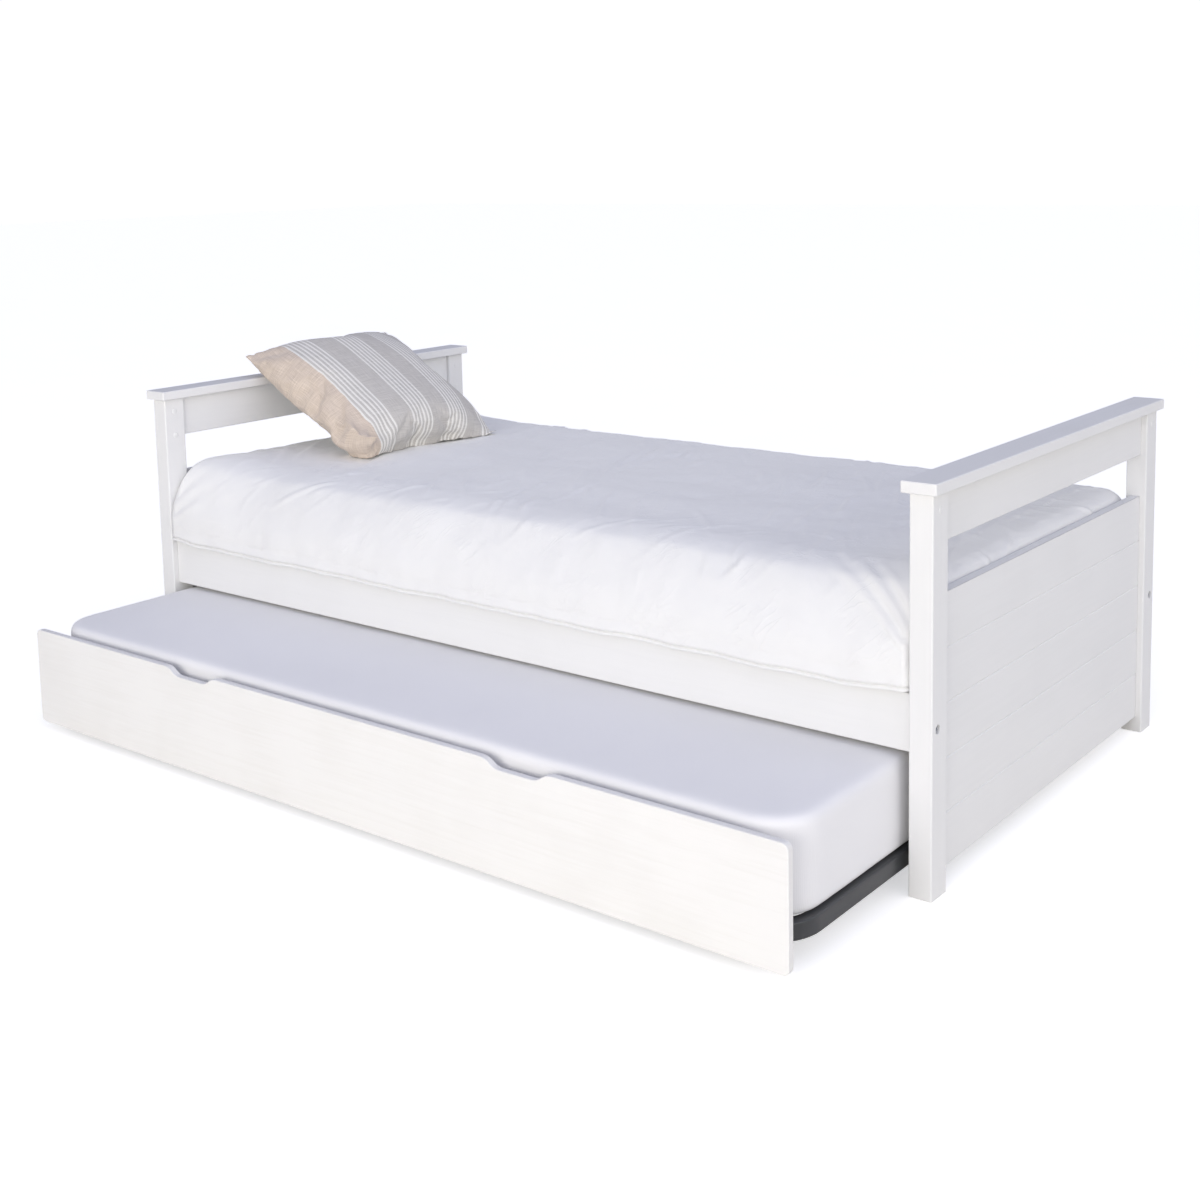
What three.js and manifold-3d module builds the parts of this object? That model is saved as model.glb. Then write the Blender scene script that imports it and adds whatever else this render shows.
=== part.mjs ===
// A single day bed with a second bed that rolls out from under it.
// Millimetres. +X runs along the bed with the headboard at -X, the trundle rolls out towards -Y,
// +Z is up and the floor is Z = 0. The trundle stands part-way out, as it does when it is opened.
import * as THREE from "three";
import { mergeVertices } from "three/addons/utils/BufferGeometryUtils.js";
import Module from "manifold-3d";

const wasm = await Module();
wasm.setup();

// ---- driving dimensions --------------------------------------------------------------------
const GAP = 0.3; // clearance left between two pieces that touch

// bed frame
const BED_LENGTH = 1990; // over the outer faces of the posts
const BED_WIDTH = 1006; // over the front and back faces of the posts
const POST_X = 42;
const POST_Y = 54;
const POST_HEIGHT = 675;
const CAP_THICK = 20;
const CAP_OVERHANG = 11;
const CAP_CORNER = 3;
const CAP_EASE = 1.5;
const EASE = 2.5; // radius that takes the sharpness off a board's long edges
const POST_EASE = 3;
const FINE_EASE = 1.5; // on the small pieces that nobody touches

// end boards between the posts
const PANEL_THICK = 18;
const PANEL_BOTTOM = 31.5;
const PANEL_TOP = 501;
const PANEL_INSET = 12.5; // from the outer face of the posts
const PANEL_BOARDS = 5;
const GROOVE_WIDTH = 4.5;
const GROOVE_DEPTH = 2.6;
const PANEL_EDGE = 1; // chamfer along the top and bottom edges
const UPPER_RAIL_BOTTOM = 586;
const UPPER_RAIL_THICK = 21;

// side rails, their slat ledgers and the slats
const RAIL_BOTTOM = 240;
const RAIL_TOP = 340;
const RAIL_THICK = 24;
const RAIL_INSET = 14; // from the front face of the posts
const LEDGER_THICK = 24;
const LEDGER_TOP = 300;
const LEDGER_HEIGHT = 28;
const LEDGER_END_GAP = 10; // from each end of the side rail to the end of its ledger
const SLAT_COUNT = 10;
const SLAT_WIDTH = 90;
const SLAT_THICK = 18;
const SLAT_END_GAP = 2;

// connector bolts that hold the side rails to the posts
const BOLT_Z = 287;
const BOLT_EDGE = 20; // from the post's front or back face to the bolt's middle
const BOLT_HEAD_R = 6.2;
const COUNTERBORE_R = 8;
const COUNTERBORE_DEPTH = 8;
const BOLT_HEAD_THICK = 5;
const HEX_KEY_R = 3.4;

// bedding of the main bed
const MATTRESS_LENGTH = 1896;
const MATTRESS_WIDTH = 900;
const MATTRESS_THICK = 186;
const MATTRESS_ROUND = 40;
const MATTRESS_CORNER = 45;
const COVER_HALF_LENGTH = 950;
const COVER_TOP = 521;
const COVER_HEM = 336; // lower edge, just below the top of the side rail
const COVER_HEM_THICK = 9;
const COVER_OFF_RAIL = 1.8; // between the hem and the face of the side rail

// scatter cushion, leaning on the headboard
const CUSHION_SIZE = 470;
const CUSHION_HALF_THICK = 80;
const CUSHION_RIM = 4;
const CUSHION_CENTRE = [-756, -33, 661];
const CUSHION_LEAN = 28.9; // degrees above level
const CUSHION_YAW = -2;
const CUSHION_SEGMENTS = 10;
const CUSHION_WAIST = 0.05; // how far the sides pull in between the corners
const CUSHION_SWELL = 0.45; // lower is fuller towards the rim

// trundle front
const TRUNDLE_OUT = 367; // how far the trundle stands out at rest
const FRONT_LENGTH = 1902;
const FRONT_THICK = 14;
const FRONT_BOTTOM = 16;
const FRONT_TOP = 221;
const FRONT_CORNER = 12;
const NOTCH_X = 425; // from the middle of the panel to the middle of each hand notch
const NOTCH_WIDTH = 160;
const NOTCH_FLAT = 66;
const NOTCH_DEPTH = 15.5;
const FRONT_EASE = 1.2;

// trundle base: a steel tube bent into a ring, two cross tubes, ledges and slats
const RING_HALF_LENGTH = 941;
const RING_DEPTH = 890;
const RING_CORNER = 90;
const RING_BOTTOM = 40;
const RING_TOP = 70;
const RING_TUBE = 24;
const RING_WALL = 1.8;
const RING_EDGE = 3.5;
const FRONT_TO_RING = 6; // gap that the fixing brackets bridge
const LEDGE_WIDTH = 20;
const LEDGE_THICK = 2.5;
const WELD_DEPTH = 1; // how far a welded piece runs into the tube's wall
const CROSS_X = 700;
const CROSS_WIDTH = 34;
const CROSS_WALL = 1.8;
const CROSS_EDGE = 2;
const TRUNDLE_SLAT_COUNT = 10;
const TRUNDLE_SLAT_WIDTH = 70;
const TRUNDLE_SLAT_THICK = 12;
const TRUNDLE_SLAT_END_GAP = 1.5;
const WEEP_HOLE_R = 3;

// trundle mattress
const GUEST_HALF_LENGTH = 935;
const GUEST_INSET_FRONT = 14;
const GUEST_TOP = 230;
const GUEST_CORNER = 86;
const GUEST_ROUND = 14;

// fixed casters under the cross tubes
const WHEEL_R = 18;
const WHEEL_WIDTH = 18;
const WHEEL_BORE_R = 3.4;
const HUB_R = 12; // its faces stand HUB_PROUD in front of the tyre's
const HUB_PROUD = 1;
const TYRE_EDGE = 1.5;
const AXLE_R = 3;
const AXLE_HEAD_R = 5;
const AXLE_HEAD_THICK = 2;
const CASTER_INSET = 120; // from the front and back of the ring to the caster
const FORK_PLATE = 2.2;
const FORK_LENGTH = 30;
const FORK_CLEARANCE = 1.5;
const FORK_LIP = 1; // plate left below the axle's head

// brackets that hold the front to the ring
const BRACKET_X = 620;
const BRACKET_WIDTH = 60;
const BRACKET_PLATE = 3;
const BRACKET_REACH = 44;
const BRACKET_HEIGHT = 92;
const BRACKET_FILLET = 3;

// ---- derived places ------------------------------------------------------------------------
const POST_MID_X = (BED_LENGTH - POST_X) / 2;
const POST_MID_Y = (BED_WIDTH - POST_Y) / 2;
const BAY_HALF_X = BED_LENGTH / 2 - POST_X; // inner faces of the posts
const BAY_HALF_Y = BED_WIDTH / 2 - POST_Y;
const RAIL_MID_Y = BED_WIDTH / 2 - RAIL_INSET - RAIL_THICK / 2;
const LEDGER_MID_Y = RAIL_MID_Y - (RAIL_THICK + LEDGER_THICK) / 2 - GAP;
const SLAT_BOTTOM = LEDGER_TOP + GAP;
const MATTRESS_BOTTOM = SLAT_BOTTOM + SLAT_THICK + GAP;
const MATTRESS_TOP = MATTRESS_BOTTOM + MATTRESS_THICK;
const FRONT_FACE_Y = -BED_WIDTH / 2 - TRUNDLE_OUT;
const FRONT_BACK_Y = FRONT_FACE_Y + FRONT_THICK;
const RING_FRONT_Y = FRONT_BACK_Y + FRONT_TO_RING;
const RING_BACK_Y = RING_FRONT_Y + RING_DEPTH;
const RING_MID_Y = (RING_FRONT_Y + RING_BACK_Y) / 2;
const LEDGE_TOP = RING_TOP - TRUNDLE_SLAT_THICK;
const TRUNDLE_SLAT_BOTTOM = LEDGE_TOP + GAP;
const GUEST_BOTTOM = TRUNDLE_SLAT_BOTTOM + TRUNDLE_SLAT_THICK + GAP;
const CAP_WIDTH = BED_WIDTH + 2 * CAP_OVERHANG;
// the part's origin stands below the middle of its outer box, which runs from the trundle front
// to the back edge of the caps
const ORIGIN_Y = (FRONT_FACE_Y + CAP_WIDTH / 2) / 2;

// ---- materials -----------------------------------------------------------------------------
const paint = (color, roughness, metalness = 0) =>
  new THREE.MeshStandardMaterial({ color, roughness, metalness });
const WHITE_LACQUER = paint(0xf4f4f2, 0.42);
const PINE = paint(0xd9bd8c, 0.65);
const GREY_STEEL = paint(0x3a3e42, 0.5, 0.35);
const ZINC = paint(0xb4b6b8, 0.35, 1);
const GREY_NYLON = paint(0x55585b, 0.55);
const WHITE_COTTON = paint(0xf1f1f4, 0.9);
const TICKING = paint(0xe9e8ee, 0.92);
const STRIPED_LINEN = paint(0xb7a897, 0.95);

// ---- geometry helpers ----------------------------------------------------------------------
const bed = new THREE.Group();
bed.position.y = -ORIGIN_Y;

function place(name, geometry, material, x = 0, y = 0, z = 0) {
  const mesh = new THREE.Mesh(geometry, material);
  mesh.name = name;
  mesh.position.set(x, y, z);
  bed.add(mesh);
  return mesh;
}

function roundedRectangle(width, height, radius) {
  const w = width / 2;
  const h = height / 2;
  const s = new THREE.Shape();
  s.moveTo(-w + radius, -h);
  s.lineTo(w - radius, -h);
  s.absarc(w - radius, -h + radius, radius, -Math.PI / 2, 0);
  s.lineTo(w, h - radius);
  s.absarc(w - radius, h - radius, radius, 0, Math.PI / 2);
  s.lineTo(-w + radius, h);
  s.absarc(-w + radius, h - radius, radius, Math.PI / 2, Math.PI);
  s.lineTo(-w, -h + radius);
  s.absarc(-w + radius, -h + radius, radius, Math.PI, 1.5 * Math.PI);
  return s;
}

function extrude(shape, depth, curveSegments = 3, bevel = 0, bevelSegments = 2) {
  return new THREE.ExtrudeGeometry(shape, {
    depth: depth - 2 * bevel,
    curveSegments,
    steps: 1,
    bevelEnabled: bevel > 0,
    bevelSize: bevel,
    bevelOffset: -bevel,
    bevelThickness: bevel,
    bevelSegments,
  }).translate(0, 0, -depth / 2 + bevel);
}

// A straight board, centred, with its long edges eased. Its length lies along the named axis,
// and the section is given as the two sizes that are left, in X, Y, Z order.
function board(axis, length, first, second, ease = EASE) {
  if (axis === "x") {
    return extrude(roundedRectangle(second, first, ease), length).rotateY(Math.PI / 2);
  }
  if (axis === "y") {
    return extrude(roundedRectangle(first, second, ease), length).rotateX(Math.PI / 2);
  }
  return extrude(roundedRectangle(first, second, ease), length);
}

function toSolid(geometry) {
  const bare = geometry.clone();
  bare.deleteAttribute("normal");
  bare.deleteAttribute("uv");
  const merged = mergeVertices(bare, 1e-4);
  return new wasm.Manifold(new wasm.Mesh({
    numProp: 3,
    vertProperties: new Float32Array(merged.attributes.position.array),
    triVerts: new Uint32Array(merged.index.array),
  }));
}

function toGeometry(solid) {
  const mesh = solid.getMesh();
  const geometry = new THREE.BufferGeometry();
  geometry.setAttribute("position", new THREE.BufferAttribute(mesh.vertProperties, 3));
  geometry.setIndex(new THREE.BufferAttribute(mesh.triVerts, 1));
  geometry.computeVertexNormals();
  return geometry;
}

const cut = (geometry, ...tools) =>
  toGeometry(tools.reduce((solid, tool) => solid.subtract(toSolid(tool)), toSolid(geometry)));

const weld = (geometry, ...others) =>
  toGeometry(others.reduce((solid, other) => solid.add(toSolid(other)), toSolid(geometry)));

// a round bar along X
function barX(radius, length, segments = 16) {
  return new THREE.CylinderGeometry(radius, radius, length, segments).rotateZ(Math.PI / 2);
}

// ---- headboard and footboard ---------------------------------------------------------------
// The outer face of each post has a counterbore for the bolt that holds the side rail.
function post(side, end) {
  const bore = barX(COUNTERBORE_R, 2 * COUNTERBORE_DEPTH, 20).translate(
    end * POST_X / 2,
    side * (POST_Y / 2 - BOLT_EDGE),
    BOLT_Z - POST_HEIGHT / 2,
  );
  return cut(board("z", POST_HEIGHT - GAP, POST_X, POST_Y, POST_EASE), bore);
}

// Matched boards with V joints: the section is drawn in X and Z and runs along Y.
function groovedPanel() {
  const half = PANEL_THICK / 2;
  const height = PANEL_TOP - PANEL_BOTTOM;
  const pitch = height / PANEL_BOARDS;
  const s = new THREE.Shape();
  const wall = (face, from, step) => {
    for (let i = 1; i < PANEL_BOARDS; i += 1) {
      const z = from + step * i * pitch;
      s.lineTo(face * half, z - step * GROOVE_WIDTH / 2);
      s.lineTo(face * (half - GROOVE_DEPTH), z);
      s.lineTo(face * half, z + step * GROOVE_WIDTH / 2);
    }
  };
  s.moveTo(half - PANEL_EDGE, -height / 2);
  s.lineTo(half, -height / 2 + PANEL_EDGE);
  wall(1, -height / 2, 1);
  s.lineTo(half, height / 2 - PANEL_EDGE);
  s.lineTo(half - PANEL_EDGE, height / 2);
  s.lineTo(PANEL_EDGE - half, height / 2);
  s.lineTo(-half, height / 2 - PANEL_EDGE);
  wall(-1, height / 2, -1);
  s.lineTo(-half, -height / 2 + PANEL_EDGE);
  s.lineTo(PANEL_EDGE - half, -height / 2);
  return extrude(s, 2 * (BAY_HALF_Y - GAP)).rotateX(Math.PI / 2);
}

function connectorBolt() {
  const head = barX(BOLT_HEAD_R, BOLT_HEAD_THICK, 20);
  const socket = barX(HEX_KEY_R, BOLT_HEAD_THICK, 6);
  const left = socket.clone().translate(-BOLT_HEAD_THICK / 2, 0, 0);
  const right = socket.translate(BOLT_HEAD_THICK / 2, 0, 0);
  return { left: cut(head, left), right: cut(head, right) };
}

function endFrame(name, end) {
  const x = end * POST_MID_X;
  const outerFace = end * BED_LENGTH / 2;
  const bolt = connectorBolt();
  for (const [label, side] of [["front", -1], ["back", 1]]) {
    place(`${name}_post_${label}`, post(side, end), WHITE_LACQUER, x, side * POST_MID_Y,
      (POST_HEIGHT - GAP) / 2);
    place(`${name}_bolt_${label}`, end > 0 ? bolt.right.clone() : bolt.left.clone(), ZINC,
      outerFace - end * (COUNTERBORE_DEPTH - BOLT_HEAD_THICK / 2 - GAP),
      side * (BED_WIDTH / 2 - BOLT_EDGE), BOLT_Z);
  }
  const capOutline = roundedRectangle(POST_X + 2 * CAP_OVERHANG, CAP_WIDTH, CAP_CORNER);
  const cap = extrude(capOutline, CAP_THICK, 2, CAP_EASE);
  place(`${name}_cap`, cap, WHITE_LACQUER, x, 0, POST_HEIGHT + CAP_THICK / 2);
  const railHeight = POST_HEIGHT - GAP - UPPER_RAIL_BOTTOM;
  place(`${name}_upper_rail`, board("y", 2 * (BAY_HALF_Y - GAP), UPPER_RAIL_THICK, railHeight),
    WHITE_LACQUER, outerFace - end * (PANEL_INSET + UPPER_RAIL_THICK / 2), 0,
    UPPER_RAIL_BOTTOM + railHeight / 2);
  place(`${name}_panel`, groovedPanel(), WHITE_LACQUER,
    outerFace - end * (PANEL_INSET + PANEL_THICK / 2), 0, (PANEL_BOTTOM + PANEL_TOP) / 2);
}

// ---- side rails, ledgers and slats ---------------------------------------------------------
function sideRails() {
  const length = 2 * (BAY_HALF_X - GAP);
  for (const [label, side] of [["front", -1], ["back", 1]]) {
    place(`side_rail_${label}`, board("x", length, RAIL_THICK, RAIL_TOP - RAIL_BOTTOM),
      WHITE_LACQUER, 0, side * RAIL_MID_Y, (RAIL_BOTTOM + RAIL_TOP) / 2);
    const ledgerLength = length - 2 * LEDGER_END_GAP;
    place(`slat_ledger_${label}`,
      board("x", ledgerLength, LEDGER_THICK, LEDGER_HEIGHT, FINE_EASE),
      PINE, 0, side * LEDGER_MID_Y, LEDGER_TOP - LEDGER_HEIGHT / 2);
  }
}

function slatRow(prefix, count, span, geometry, y, z) {
  const pitch = span / (count - 1);
  for (let i = 0; i < count; i += 1) {
    const number = String(i + 1).padStart(2, "0");
    place(`${prefix}_${number}`, geometry.clone(), PINE, -span / 2 + i * pitch, y, z);
  }
}

function mainSlats() {
  const length = 2 * (RAIL_MID_Y - RAIL_THICK / 2 - SLAT_END_GAP);
  const slat = board("y", length, SLAT_WIDTH, SLAT_THICK);
  const span = MATTRESS_LENGTH - 2 * SLAT_WIDTH;
  slatRow("bed_slat", SLAT_COUNT, span, slat, 0, SLAT_BOTTOM + SLAT_THICK / 2);
}

// ---- bedding of the main bed ---------------------------------------------------------------
function mattress() {
  const outline = roundedRectangle(MATTRESS_LENGTH, MATTRESS_WIDTH, MATTRESS_CORNER);
  place("mattress", extrude(outline, MATTRESS_THICK, 4, MATTRESS_ROUND, 3), TICKING, 0, 0,
    MATTRESS_BOTTOM + MATTRESS_THICK / 2);
}

// The cover lies over the mattress and spills a little over the side rails. Its section is drawn
// in Y and Z: a flat top, a rounded shoulder, a slope and a thin hem that hangs in front of the
// rail. side lists, from the hem up, how far in from the hem's face and how high each point is.
function coverSection() {
  const railFace = BED_WIDTH / 2 - RAIL_INSET;
  const hem = railFace + COVER_OFF_RAIL + COVER_HEM_THICK;
  const inner = MATTRESS_WIDTH / 2 + GAP;
  const slope = MATTRESS_ROUND * 0.55; // clears the mattress's rounded edge
  const shoulder = COVER_TOP - 1;
  const side = [[-4, COVER_HEM + 22], [1, COVER_HEM + 66], [28, COVER_TOP - 59],
    [46, COVER_TOP - 35], [71, COVER_TOP - 10], [142, shoulder]];
  const s = new THREE.Shape();
  const at = (sign) => ([inward, z]) => new THREE.Vector2(sign * (hem - inward), z);
  s.moveTo(-hem, COVER_HEM);
  s.lineTo(-(hem - COVER_HEM_THICK), COVER_HEM);
  s.lineTo(-(hem - COVER_HEM_THICK), RAIL_TOP + GAP);
  s.lineTo(-inner, RAIL_TOP + GAP);
  s.lineTo(-inner, MATTRESS_TOP - slope);
  s.lineTo(-(inner - slope), MATTRESS_TOP + GAP);
  s.lineTo(inner - slope, MATTRESS_TOP + GAP);
  s.lineTo(inner, MATTRESS_TOP - slope);
  s.lineTo(inner, RAIL_TOP + GAP);
  s.lineTo(hem - COVER_HEM_THICK, RAIL_TOP + GAP);
  s.lineTo(hem - COVER_HEM_THICK, COVER_HEM);
  s.lineTo(hem, COVER_HEM);
  s.splineThru(side.map(at(1)));
  s.lineTo(at(-1)(side[side.length - 1]).x, shoulder);
  s.splineThru(side.map(at(-1)).reverse().slice(1));
  return s;
}

function bedCover() {
  const cover = extrude(coverSection(), 2 * COVER_HALF_LENGTH, 2);
  place("bed_cover", cover.rotateX(Math.PI / 2).rotateZ(Math.PI / 2), WHITE_COTTON);
}

// A square cushion: thickest in the middle, thin at the rim, sides pulled in between the corners.
function cushionGeometry() {
  const n = CUSHION_SEGMENTS;
  const half = CUSHION_SIZE / 2;
  const geometry = new THREE.BoxGeometry(2, 2, 2, n, n, 1);
  const p = geometry.attributes.position;
  for (let i = 0; i < p.count; i += 1) {
    const u = Math.sin(p.getX(i) * Math.PI / 2);
    const v = Math.sin(p.getY(i) * Math.PI / 2);
    const crown = ((1 - u * u) * (1 - v * v)) ** CUSHION_SWELL;
    const x = half * u * (1 - CUSHION_WAIST * (1 - v * v) * u * u);
    const y = half * v * (1 - CUSHION_WAIST * (1 - u * u) * v * v);
    const z = CUSHION_RIM + (CUSHION_HALF_THICK - CUSHION_RIM) * crown;
    p.setXYZ(i, x, y, Math.sign(p.getZ(i)) * z);
  }
  return geometry;
}

function scatterCushion() {
  const cushion = place("scatter_cushion", cushionGeometry(), STRIPED_LINEN, ...CUSHION_CENTRE);
  cushion.rotation.order = "ZYX";
  cushion.rotation.y = THREE.MathUtils.degToRad(CUSHION_LEAN);
  cushion.rotation.z = THREE.MathUtils.degToRad(CUSHION_YAW);
}

// ---- trundle -------------------------------------------------------------------------------
// The front board, drawn in X and Z: rounded corners and two hand notches in its top edge.
function frontBoard() {
  const w = FRONT_LENGTH / 2;
  const h = (FRONT_TOP - FRONT_BOTTOM) / 2;
  const r = FRONT_CORNER;
  const floor = h - NOTCH_DEPTH;
  const s = new THREE.Shape();
  const notch = (x) => {
    const outer = NOTCH_WIDTH / 2;
    const inner = NOTCH_FLAT / 2;
    const mid = (outer + inner) / 2;
    s.lineTo(x + outer, h);
    s.bezierCurveTo(x + mid, h, x + mid, floor, x + inner, floor);
    s.lineTo(x - inner, floor);
    s.bezierCurveTo(x - mid, floor, x - mid, h, x - outer, h);
  };
  s.moveTo(-w + r, -h);
  s.lineTo(w - r, -h);
  s.absarc(w - r, -h + r, r, -Math.PI / 2, 0);
  s.lineTo(w, h - r);
  s.absarc(w - r, h - r, r, 0, Math.PI / 2);
  notch(NOTCH_X);
  notch(-NOTCH_X);
  s.lineTo(-w + r, h);
  s.absarc(-w + r, h - r, r, Math.PI / 2, Math.PI);
  s.lineTo(-w, -h + r);
  s.absarc(-w + r, -h + r, r, Math.PI, 1.5 * Math.PI);
  const geometry = extrude(s, FRONT_THICK, 8, FRONT_EASE, 1).rotateX(Math.PI / 2);
  place("trundle_front", geometry, WHITE_LACQUER, 0, FRONT_FACE_Y + FRONT_THICK / 2,
    (FRONT_TOP + FRONT_BOTTOM) / 2);
}

function ringShape(inset) {
  const outline = (by) => roundedRectangle(
    2 * (RING_HALF_LENGTH - by), RING_DEPTH - 2 * by, RING_CORNER - by);
  const s = outline(inset);
  s.holes.push(outline(RING_TUBE - inset));
  return s;
}

// The bent tube is hollow, with a weep hole underneath, and has a ledge for the slats welded
// along the inside of its long sides.
function trundleRing() {
  const height = RING_TOP - RING_BOTTOM;
  const tube = extrude(ringShape(0), height, 6, RING_EDGE, 2);
  const hollow = extrude(ringShape(RING_WALL), height - 2 * RING_WALL, 6, 0);
  const sideY = RING_DEPTH / 2 - RING_TUBE / 2;
  const weep = new THREE.CylinderGeometry(WEEP_HOLE_R, WEEP_HOLE_R, 4 * RING_WALL, 8)
    .rotateX(Math.PI / 2).translate(0, sideY, -height / 2);
  const ledges = [-1, 1].map((side) => new THREE.BoxGeometry(
    2 * (RING_HALF_LENGTH - RING_CORNER), LEDGE_WIDTH, LEDGE_THICK,
  ).translate(0, side * (sideY - RING_TUBE / 2 - LEDGE_WIDTH / 2 + WELD_DEPTH),
    LEDGE_TOP - LEDGE_THICK / 2 - (RING_TOP + RING_BOTTOM) / 2));
  const ring = cut(weld(tube, ...ledges), hollow, weep);
  place("trundle_ring", ring, GREY_STEEL, 0, RING_MID_Y, (RING_TOP + RING_BOTTOM) / 2);
}

// Two cross tubes, open at their ends, run from the front of the ring to its back.
function crossTubes() {
  const height = LEDGE_TOP - LEDGE_THICK - GAP - RING_BOTTOM;
  const length = RING_DEPTH - 2 * (RING_TUBE + GAP);
  const section = roundedRectangle(CROSS_WIDTH, height, CROSS_EDGE);
  section.holes.push(roundedRectangle(
    CROSS_WIDTH - 2 * CROSS_WALL, height - 2 * CROSS_WALL, CROSS_EDGE / 2));
  const tube = extrude(section, length, 2).rotateX(Math.PI / 2);
  for (const [label, end] of [["head", -1], ["foot", 1]]) {
    place(`cross_tube_${label}`, tube.clone(), GREY_STEEL, end * CROSS_X, RING_MID_Y,
      RING_BOTTOM + height / 2);
  }
}

function trundleSlats() {
  const length = RING_DEPTH - 2 * (RING_TUBE + TRUNDLE_SLAT_END_GAP);
  const slat = board("y", length, TRUNDLE_SLAT_WIDTH, TRUNDLE_SLAT_THICK, FINE_EASE);
  const span = 2 * (RING_HALF_LENGTH - RING_CORNER - TRUNDLE_SLAT_WIDTH / 2);
  slatRow("trundle_slat", TRUNDLE_SLAT_COUNT, span, slat, RING_MID_Y,
    TRUNDLE_SLAT_BOTTOM + TRUNDLE_SLAT_THICK / 2);
}

function trundleMattress() {
  const depth = RING_DEPTH - GUEST_INSET_FRONT;
  const thick = GUEST_TOP - GUEST_BOTTOM;
  const outline = roundedRectangle(2 * GUEST_HALF_LENGTH, depth, GUEST_CORNER);
  place("trundle_mattress", extrude(outline, thick, 6, GUEST_ROUND, 3), TICKING, 0,
    RING_MID_Y + GUEST_INSET_FRONT / 2, GUEST_BOTTOM + thick / 2);
}

// A fixed caster: an inverted U of folded plate under the cross tube, an axle through its cheeks
// and a wheel that turns on the axle.
function caster(label, x, y) {
  const plateTop = RING_BOTTOM - GAP;
  const width = WHEEL_WIDTH + 2 * (FORK_CLEARANCE + FORK_PLATE);
  const height = plateTop - (WHEEL_R - AXLE_HEAD_R - FORK_LIP);
  const outer = new THREE.BoxGeometry(width, FORK_LENGTH, height);
  const inside = new THREE.BoxGeometry(
    WHEEL_WIDTH + 2 * FORK_CLEARANCE, FORK_LENGTH + 2, height,
  ).translate(0, 0, -FORK_PLATE);
  const middle = plateTop - height / 2;
  const hole = barX(AXLE_R + GAP, width + 2).translate(0, 0, WHEEL_R - middle);
  place(`caster_fork_${label}`, cut(outer, inside, hole), ZINC, x, y, middle);

  const headX = width / 2 + GAP + AXLE_HEAD_THICK / 2;
  const axle = weld(barX(AXLE_R, width + 2 * GAP),
    ...[-1, 1].map((side) => barX(AXLE_HEAD_R, AXLE_HEAD_THICK).translate(side * headX, 0, 0)));
  place(`caster_axle_${label}`, axle, ZINC, x, y, WHEEL_R);

  const half = WHEEL_WIDTH / 2;
  const tread = half - HUB_PROUD;
  const tyre = [[WHEEL_BORE_R, -half], [HUB_R, -half], [HUB_R + HUB_PROUD, -tread],
    [WHEEL_R - TYRE_EDGE, -tread], [WHEEL_R, TYRE_EDGE - tread], [WHEEL_R, tread - TYRE_EDGE],
    [WHEEL_R - TYRE_EDGE, tread], [HUB_R + HUB_PROUD, tread], [HUB_R, half],
    [WHEEL_BORE_R, half], [WHEEL_BORE_R, -half]];
  const profile = tyre.map(([r, h]) => new THREE.Vector2(r, h));
  const wheel = new THREE.LatheGeometry(profile, 24).rotateZ(Math.PI / 2);
  place(`caster_wheel_${label}`, wheel, GREY_NYLON, x, y, WHEEL_R);
}

function casters() {
  const reach = RING_DEPTH / 2 - CASTER_INSET;
  for (const [end, x] of [["head", -CROSS_X], ["foot", CROSS_X]]) {
    caster(`${end}_front`, x, RING_MID_Y - reach);
    caster(`${end}_back`, x, RING_MID_Y + reach);
  }
}

// Angle brackets: one leg screwed to the back of the front board, the other under the ring.
function frontBrackets() {
  const s = new THREE.Shape();
  s.moveTo(0, 0);
  s.lineTo(BRACKET_REACH, 0);
  s.lineTo(BRACKET_REACH, BRACKET_PLATE);
  s.lineTo(BRACKET_PLATE + BRACKET_FILLET, BRACKET_PLATE);
  s.lineTo(BRACKET_PLATE, BRACKET_PLATE + BRACKET_FILLET);
  s.lineTo(BRACKET_PLATE, BRACKET_HEIGHT);
  s.lineTo(0, BRACKET_HEIGHT);
  const angle = extrude(s, BRACKET_WIDTH).rotateX(Math.PI / 2).rotateZ(Math.PI / 2);
  const z = RING_BOTTOM - GAP - BRACKET_PLATE;
  for (const [label, end] of [["head", -1], ["foot", 1]]) {
    place(`front_bracket_${label}`, angle.clone(), GREY_STEEL, end * BRACKET_X,
      FRONT_BACK_Y + GAP, z);
  }
}

// ---- assembly ------------------------------------------------------------------------------
endFrame("headboard", -1);
endFrame("footboard", 1);
sideRails();
mainSlats();
mattress();
bedCover();
scatterCushion();
frontBoard();
trundleRing();
crossTubes();
trundleSlats();
trundleMattress();
casters();
frontBrackets();

export default bed;
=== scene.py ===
import math

import bpy
import numpy as np
from mathutils import Matrix, Vector, noise


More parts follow.
